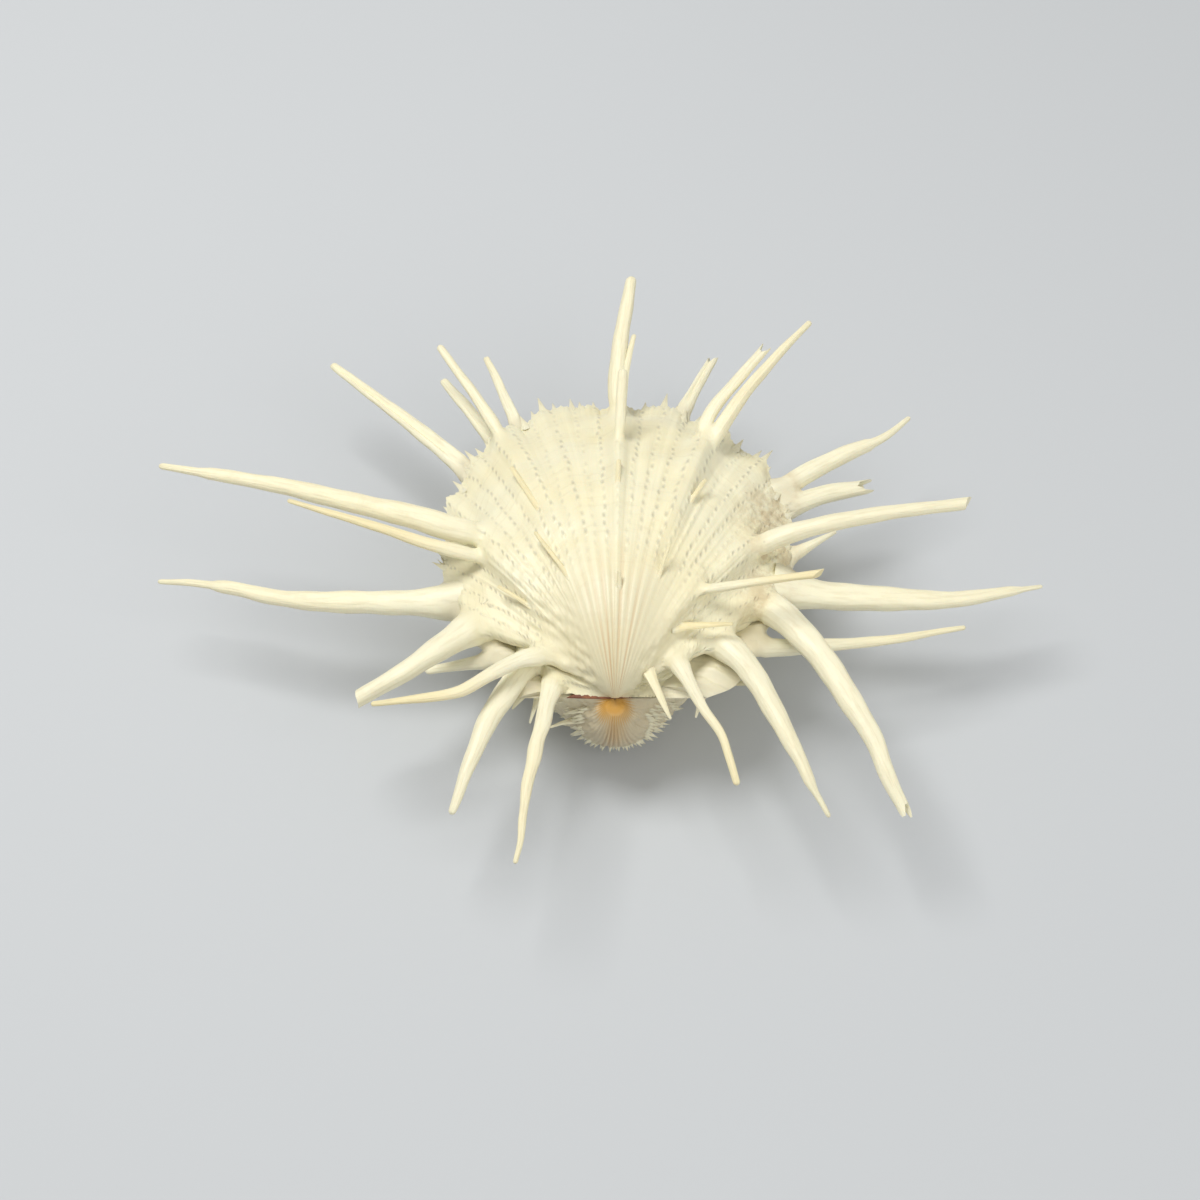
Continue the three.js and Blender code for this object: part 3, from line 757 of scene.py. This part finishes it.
def calc(operation, *values, clamp=False):
    node = addNode(homeOf(*values), "ShaderNodeMath", operation=operation, use_clamp=clamp)
    for socket, value in zip(node.inputs, values):
        feed(socket, value)
    return node.outputs[0]


def times(first, second):
    return calc("MULTIPLY", first, second)


def plus(first, second):
    return calc("ADD", first, second)


def minus(first, second):
    return calc("SUBTRACT", first, second)


def ramp(value, low, high, outLow=0.0, outHigh=1.0):
    node = addNode(homeOf(value), "ShaderNodeMapRange", interpolation_type="SMOOTHSTEP")
    for name, given in (("Value", value), ("From Min", low), ("From Max", high),
                        ("To Min", outLow), ("To Max", outHigh)):
        feed(node.inputs[name], given)
    return node.outputs["Result"]


def mixColour(amount, first, second):
    node = addNode(homeOf(amount), "ShaderNodeMix", data_type="RGBA")
    feed(node.inputs["Factor"], amount)
    feed(node.inputs[6], first)
    feed(node.inputs[7], second)
    return node.outputs[2]


def noiseOf(vector, scale, detail=3.0, roughness=0.55):
    node = addNode(homeOf(vector), "ShaderNodeTexNoise")
    feed(node.inputs["Vector"], vector)
    feed(node.inputs["Scale"], scale)
    feed(node.inputs["Detail"], detail)
    feed(node.inputs["Roughness"], roughness)
    return node.outputs["Fac"]


def joinVector(x, y, z):
    node = addNode(homeOf(x, y, z), "ShaderNodeCombineXYZ")
    for socket, value in zip(node.inputs, (x, y, z)):
        feed(socket, value)
    return node.outputs[0]


def parts(vector):
    node = addNode(homeOf(vector), "ShaderNodeSeparateXYZ")
    feed(node.inputs[0], vector)
    return node.outputs[0], node.outputs[1], node.outputs[2]


def newGroup(name, inputs, outputs):
    tree = bpy.data.node_groups.new(name, "ShaderNodeTree")
    for label, kind, value in inputs:
        socket = tree.interface.new_socket(name=label, in_out="INPUT", socket_type=kind)
        if value is not None:
            socket.default_value = value
    for label, kind in outputs:
        tree.interface.new_socket(name=label, in_out="OUTPUT", socket_type=kind)
    return tree, tree.nodes.new("NodeGroupInput").outputs, tree.nodes.new("NodeGroupOutput").inputs


def placeGroup(tree, group, **values):
    node = addNode(tree, "ShaderNodeGroup", node_tree=group)
    for name, value in values.items():
        feed(node.inputs[name], value)
    return node.outputs


number, vector3 = "NodeSocketFloat", "NodeSocketVector"


def makeChalkGroup():
    # cloudy tone and fine grain of bare lime
    tree, given, out = newGroup("chalkTone",
        [("Vector", vector3, None), ("Cloud Scale", number, 60), ("Grain Scale", number, 1500),
         ("Amount", number, 0.5)],
        [("Cloud", number), ("Height", number)])
    cloud = noiseOf(given["Vector"], given["Cloud Scale"], 4)
    grain = noiseOf(given["Vector"], given["Grain Scale"], 2)
    feed(out["Cloud"], ramp(cloud, 0.35, 0.68))
    feed(out["Height"], times(grain, given["Amount"]))
    return tree


def makeGrowthGroup():
    # growth lines across the valve and fine threads along the ribs
    tree, given, out = newGroup("growthLines",
        [("Growth Map", vector3, None), ("Lines", number, 60), ("Threads", number, 420),
         ("Amount", number, 1)],
        [("Line", number), ("Height", number)])
    place, grown, _ = parts(given["Growth Map"])
    stepsAlong = times(grown, given["Lines"])
    across = joinVector(times(place, 14.0), stepsAlong, 0.0)
    lines = noiseOf(across, 1.0, 5, 0.6)
    alongVector = joinVector(times(place, given["Threads"]), times(grown, 5.0), 2.0)
    threads = noiseOf(alongVector, 1.0, 3)
    both = plus(times(lines, 0.7), times(threads, 0.5))
    feed(out["Line"], ramp(lines, 0.52, 0.7))
    feed(out["Height"], times(both, given["Amount"]))
    return tree


def makePoreGroup():
    # rows of tiny nubs, each with a pit on its outer side, which the finish paints grey as shade
    tree, given, out = newGroup("poreRows",
        [("Growth Map", vector3, None), ("Ribs", number, 64), ("Rows", number, 36), ("From", number, 0.3)],
        [("Pit", number), ("Nub", number)])
    place, grown, _ = parts(given["Growth Map"])
    rib = plus(times(place, given["Ribs"]), 0.5)
    ribNumber = calc("FLOOR", rib)
    shift = addNode(tree, "ShaderNodeTexWhiteNoise", noise_dimensions="1D")
    feed(shift.inputs["W"], ribNumber)
    row = plus(times(grown, given["Rows"]), times(shift.outputs["Value"], 3.0))
    rowNumber = calc("FLOOR", row)
    chance = addNode(tree, "ShaderNodeTexWhiteNoise", noise_dimensions="2D")
    feed(chance.inputs["Vector"], joinVector(ribNumber, rowNumber, 0.0))
    across = times(grown, 5.6)
    sideways = times(minus(calc("FRACT", rib), 0.5), across)
    lengthways = times(minus(calc("FRACT", row), 0.5), 2.4)
    wander = times(minus(chance.outputs["Value"], 0.5), 0.8)
    sideways = plus(sideways, wander)

    def spot(offset, wide, long):
        x = calc("DIVIDE", sideways, wide)
        y = calc("DIVIDE", minus(lengthways, offset), long)
        away = calc("SQRT", plus(times(x, x), times(y, y)))
        return minus(1.0, ramp(away, 0.0, 1.0))

    perRow = calc("FRACT", times(chance.outputs["Value"], 7.13))
    perRib = ramp(calc("FRACT", times(shift.outputs["Value"], 5.7)), 0.1, 0.5, 0.4, 1.0)
    begun = ramp(grown, given["From"], plus(given["From"], 0.12))
    shown = times(times(ramp(perRow, 0.0, 0.55, 0.25, 1.0), perRib), begun)
    feed(out["Pit"], times(spot(0.35, 0.62, 1.15), shown))
    feed(out["Nub"], times(spot(-0.5, 0.7, 0.9), shown))
    return tree


def makeFibreGroup():
    # long fibres and faint rings of a spine
    tree, given, out = newGroup("spineFibres",
        [("Spine Map", vector3, None), ("Fineness", number, 3.5), ("Amount", number, 1)],
        [("Fibre", number), ("Height", number)])
    x, y, away = parts(given["Spine Map"])
    stretched = joinVector(times(x, given["Fineness"]), times(y, given["Fineness"]), times(away, 0.14))
    fibre = noiseOf(stretched, 1.0, 4)
    rings = noiseOf(joinVector(times(x, 0.6), times(y, 0.6), away), 0.8, 2)
    feed(out["Fibre"], ramp(fibre, 0.45, 0.7))
    feed(out["Height"], times(plus(fibre, times(rings, 0.5)), given["Amount"]))
    return tree


def makeCrustGroup():
    # lumps, specks and stains of old sea growth
    tree, given, out = newGroup("seaCrust",
        [("Vector", vector3, None), ("Amount", number, 0)],
        [("Stain", number), ("Speck", number), ("Height", number)])
    patchy = noiseOf(given["Vector"], 170, 5, 0.65)
    lumps = noiseOf(given["Vector"], 700, 4, 0.6)
    specks = addNode(tree, "ShaderNodeTexVoronoi", feature="F1")
    feed(specks.inputs["Vector"], given["Vector"])
    specks.inputs["Scale"].default_value = 330
    hole = minus(1.0, ramp(specks.outputs["Distance"], 0.05, 0.16))
    chosen = calc("GREATER_THAN", noiseOf(given["Vector"], 260, 1), 0.56)
    feed(out["Stain"], times(given["Amount"], ramp(patchy, 0.42, 0.62)))
    feed(out["Speck"], times(times(hole, chosen), given["Amount"]))
    feed(out["Height"], times(lumps, given["Amount"]))
    return tree


chalkTone, growthLines, poreRows = makeChalkGroup(), makeGrowthGroup(), makePoreGroup()
spineFibres, seaCrust = makeFibreGroup(), makeCrustGroup()


def readLayer(tree, name):
    return addNode(tree, "ShaderNodeAttribute", attribute_name=name).outputs["Vector"]


def newMaterial(name):
    made = bpy.data.materials.new(name)
    made.use_nodes = True
    tree = made.node_tree
    tree.nodes.clear()
    shader = tree.nodes.new("ShaderNodeBsdfPrincipled")
    output = tree.nodes.new("ShaderNodeOutputMaterial")
    tree.links.new(shader.outputs[0], output.inputs["Surface"])
    return made, tree, shader


def valleyWave(place, ribs):
    # 1 in the valleys between the ribs, 0 on their crests
    wave = calc("COSINE", times(place, 2 * math.pi * ribs))
    return minus(0.5, times(wave, 0.5))


def layOver(colour, amount, look, tone):
    # lays the tone of that name over the colour, as strongly as the look says
    return mixColour(times(amount, look[tone + "Tone"]), colour, look[tone])


def valveMaterial(name, look):
    made, tree, shader = newMaterial(name)
    where = addNode(tree, "ShaderNodeTexCoord").outputs["Object"]
    growthMap, spineMap, tone = (readLayer(tree, label) for label in ("growthMap", "spineMap", "tone"))
    place, grown, _ = parts(growthMap)
    tint, offBody, crust = parts(tone)
    onBody = minus(1.0, offBody)
    chalk = placeGroup(tree, chalkTone, Vector=where, **{"Cloud Scale": look["cloudScale"], "Amount": 0.35})
    lines = placeGroup(tree, growthLines, **{"Growth Map": growthMap, "Lines": look["lines"], "Amount": 1.0})
    pores = placeGroup(tree, poreRows, **{"Growth Map": growthMap, "Ribs": float(look["poreRows"]),
                                          "From": look["poresFrom"]})
    fibres = placeGroup(tree, spineFibres, **{"Spine Map": spineMap})
    crusty = placeGroup(tree, seaCrust, Vector=where, Amount=crust)

    colour = mixColour(chalk["Cloud"], look["body"], look["bodyWarm"])
    colour = mixColour(times(lines["Line"], look["lineTone"]), colour, look["shade"])
    # painted shade: the valleys between the ribs are darkened toward the shade colour
    valleyShade = times(valleyWave(place, look["ribs"]), look["valleyShadeTone"])
    colour = mixColour(valleyShade, colour, look["shade"])
    # darker toward the beak: partly the shell's own greyer tan there, partly painted shade on the flanks
    # near the beak
    beakTintAndShade = ramp(grown, look["beakTintAndShadeTo"], look["beakTintAndShadeFrom"])
    colour = layOver(colour, beakTintAndShade, look, "beakTintAndShade")
    # streaks in the grooves near the beak
    groove = ramp(valleyWave(place, look["ribs"]), 0.35, 0.95)
    early = ramp(grown, look["streakTo"], look["streakFrom"])
    patchPlace = joinVector(times(place, 40.0), times(grown, 3.0), 0.0)
    patch = ramp(noiseOf(patchPlace, 1.0), 0.3, 0.6)
    fromMiddle = calc("ABSOLUTE", minus(place, 0.5))
    early = times(early, ramp(fromMiddle, look["streakSpread"], 0.03))
    streak = times(times(groove, early), times(patch, onBody))
    colour = layOver(colour, streak, look, "streak")
    beak = addNode(tree, "ShaderNodeVectorMath", operation="DISTANCE")
    feed(beak.inputs[0], where)
    beak.inputs[1].default_value = [value * metresPerMm for value in (0, hingeY - 1.5, seamHeight - 2)]
    away = times(beak.outputs["Value"], 1000.0)
    uneven = times(minus(chalk["Cloud"], groove), 0.7)
    amber = ramp(plus(away, uneven), look["amberTo"], look["amberFrom"])
    downRibs = ramp(plus(grown, times(fromMiddle, 0.5)), 0.2, 0.06, 0.0, 0.4)
    amber = calc("MAXIMUM", amber, times(downRibs, look["amberTone"]))
    colour = layOver(colour, amber, look, "amber")
    # painted shade: the little pits beside the nubs are darkened grey
    pit = times(pores["Pit"], onBody)
    colour = layOver(colour, pit, look, "pit")
    # spines
    spineColour = mixColour(tint, look["spine"], look["spineTan"])
    spineColour = mixColour(times(fibres["Fibre"], 0.4), spineColour, look["shade"])
    colour = mixColour(offBody, colour, spineColour)
    colour = layOver(colour, crusty["Stain"], look, "crust")
    colour = layOver(colour, crusty["Speck"], look, "speck")
    feed(shader.inputs["Base Color"], colour)

    rough = plus(look["rough"], times(chalk["Cloud"], 0.12))
    rough = calc("ADD", rough, times(crusty["Stain"], 0.25), clamp=True)
    feed(shader.inputs["Roughness"], rough)

    poreHeight = minus(times(pores["Nub"], 0.8), times(pores["Pit"], 0.45))
    bodyHeight = times(plus(times(lines["Height"], 0.5), poreHeight), onBody)
    height = plus(bodyHeight, times(fibres["Height"], times(offBody, 1.1)))
    height = plus(height, times(crusty["Height"], 1.3))
    height = plus(height, times(chalk["Height"], 0.25))
    bump = addNode(tree, "ShaderNodeBump")
    bump.inputs["Strength"].default_value = 0.7
    bump.inputs["Distance"].default_value = 0.0003
    feed(bump.inputs["Height"], height)
    feed(shader.inputs["Normal"], bump.outputs[0])
    shader.inputs["Subsurface Weight"].default_value = 0.12
    shader.inputs["Subsurface Radius"].default_value = (1.0, 0.75, 0.5)
    shader.inputs["Subsurface Scale"].default_value = 0.0015
    shader.inputs["Specular IOR Level"].default_value = 0.4
    return made


# colours, how strongly each tone shows, and the growth between which it fades; amber is in mm from the beak
upperLook = {
    "body": (0.865, 0.83, 0.61, 1), "bodyWarm": (0.85, 0.79, 0.53, 1), "shade": (0.70, 0.63, 0.42, 1),
    "spine": (0.885, 0.85, 0.645, 1), "spineTan": (0.87, 0.76, 0.44, 1),
    # the colour near the beak below is partly the shell's own tone there, partly painted shade
    "beakTintAndShade": (0.70, 0.64, 0.44, 1), "beakTintAndShadeTone": 0.6, "beakTintAndShadeFrom": 0.12, "beakTintAndShadeTo": 0.52,
    "streak": (0.60, 0.40, 0.21, 1), "streakTone": 0.75, "streakFrom": 0.08, "streakTo": 0.5,
    "streakSpread": 0.15,
    "amber": (0.66, 0.38, 0.10, 1), "amberTone": 0.45, "amberFrom": 1.5, "amberTo": 6.0,
    # the pit colour below is painted shade in the little pits
    "pit": (0.47, 0.45, 0.35, 1), "pitTone": 0.52, "poreRows": 44, "poresFrom": 0.33,
    "crust": (0.56, 0.44, 0.26, 1), "crustTone": 0.65, "speck": (0.10, 0.07, 0.05, 1), "speckTone": 0.85,
    # the valley tone below sets how strongly painted shade darkens the rib valleys
    "cloudScale": 55.0, "lines": 60.0, "lineTone": 0.3, "valleyShadeTone": 0.2, "ribs": 36, "rough": 0.36,
}
lowerLook = dict(upperLook, beakTintAndShade=(0.52, 0.43, 0.28, 1), beakTintAndShadeTone=0.75, beakTintAndShadeFrom=0.1, beakTintAndShadeTo=0.5,
                 body=(0.80, 0.76, 0.58, 1), bodyWarm=(0.73, 0.67, 0.48, 1), ribs=30,
                 streak=(0.42, 0.29, 0.17, 1), streakTone=0.8, streakFrom=0.1, streakTo=0.42,
                 streakSpread=0.2,
                 amber=(0.56, 0.285, 0.03, 1), amberTone=1.0, amberFrom=2.5, amberTo=5.2,
                 poresFrom=0.55, rough=0.42)
ligamentLook = {"dark": (0.16, 0.05, 0.025, 1), "light": (0.33, 0.13, 0.06, 1), "rough": 0.5,
                "cloudScale": 420.0, "grainScale": 3000.0}


def ligamentMaterial():
    made, tree, shader = newMaterial("driedLigament")
    where = addNode(tree, "ShaderNodeTexCoord").outputs["Object"]
    look = ligamentLook
    chalk = placeGroup(tree, chalkTone, Vector=where, **{"Cloud Scale": look["cloudScale"],
                                                         "Grain Scale": look["grainScale"], "Amount": 1.0})
    feed(shader.inputs["Base Color"], mixColour(chalk["Cloud"], look["dark"], look["light"]))
    feed(shader.inputs["Roughness"], plus(look["rough"], times(chalk["Cloud"], 0.2)))
    bump = addNode(tree, "ShaderNodeBump")
    bump.inputs["Distance"].default_value = 0.0002
    feed(bump.inputs["Height"], chalk["Height"])
    feed(shader.inputs["Normal"], bump.outputs[0])
    return made


upperValve.data.materials.append(valveMaterial("upperShell", upperLook))
lowerValve.data.materials.append(valveMaterial("lowerShell", lowerLook))
ligament.data.materials.append(ligamentMaterial())
say("finishes")

pieces = [(upperValve, "upper_valve", "upper_shell"), (lowerValve, "lower_valve", "lower_shell"),
          (ligament, "hinge_ligament", "ligament")]
for piece, node, slot in pieces:
    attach(piece, "root")
    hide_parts(node)


# the camera aims at a point in mm from the middle of the hinge; lights are in metres and watts
studio = {"floor": (0.55, 0.575, 0.60, 1), "floorRough": 0.85, "floorSize": 6.0,
          "world": (1.0, 0.985, 0.955, 1), "worldStrength": 0.42,
          "elevation": 52, "distance": 0.72, "lens": 94.5, "aim": (-3.4, 17.7, 13.8)}
keyLight = {"place": (-0.34, 0.2, 0.9), "size": 0.5, "power": 6.4, "colour": (1, 0.985, 0.96)}
fillLight = {"place": (0.6, -0.65, 0.65), "size": 0.9, "power": 4.0, "colour": (1, 0.99, 0.97)}
lightTarget = Vector((0, 0, 0.02))


def makeFloor():
    half = studio["floorSize"] / 2
    mesh = bpy.data.meshes.new("floor")
    corners = [(-half, -half, 0), (half, -half, 0), (half, half, 0), (-half, half, 0)]
    mesh.from_pydata(corners, [], [(0, 1, 2, 3)])
    floor = bpy.data.objects.new("floor", mesh)
    bpy.context.scene.collection.objects.link(floor)
    made, tree, shader = newMaterial("paleFloor")
    shader.inputs["Base Color"].default_value = studio["floor"]
    shader.inputs["Roughness"].default_value = studio["floorRough"]
    mesh.materials.append(made)


def addLight(name, setup):
    data = bpy.data.lights.new(name, "AREA")
    data.shape = "DISK"
    data.size = setup["size"]
    data.energy = setup["power"]
    data.color = setup["colour"]
    lamp = bpy.data.objects.new(name, data)
    lamp.location = setup["place"]
    lamp.rotation_euler = (lightTarget - Vector(setup["place"])).to_track_quat("-Z", "Y").to_euler()
    bpy.context.scene.collection.objects.link(lamp)


def makeCamera():
    data = bpy.data.cameras.new("camera")
    data.lens = studio["lens"]
    camera = bpy.data.objects.new("camera", data)
    aim = Vector((studio["aim"][0], hingeY + studio["aim"][1], seamHeight + studio["aim"][2])) * metresPerMm
    tilt = math.radians(studio["elevation"])
    back = Vector((0, -math.cos(tilt), math.sin(tilt)))
    camera.location = aim + back * studio["distance"]
    camera.rotation_euler = (-back).to_track_quat("-Z", "Y").to_euler()
    bpy.context.scene.collection.objects.link(camera)
    bpy.context.scene.camera = camera


makeFloor()
addLight("keyLight", keyLight)
addLight("fillLight", fillLight)
world = bpy.data.worlds.new("studio")
world.use_nodes = True
sky = world.node_tree.nodes["Background"].inputs
sky["Color"].default_value = studio["world"]
sky["Strength"].default_value = studio["worldStrength"]
bpy.context.scene.world = world
bpy.context.scene.view_settings.view_transform = "Standard"
makeCamera()
say("studio")
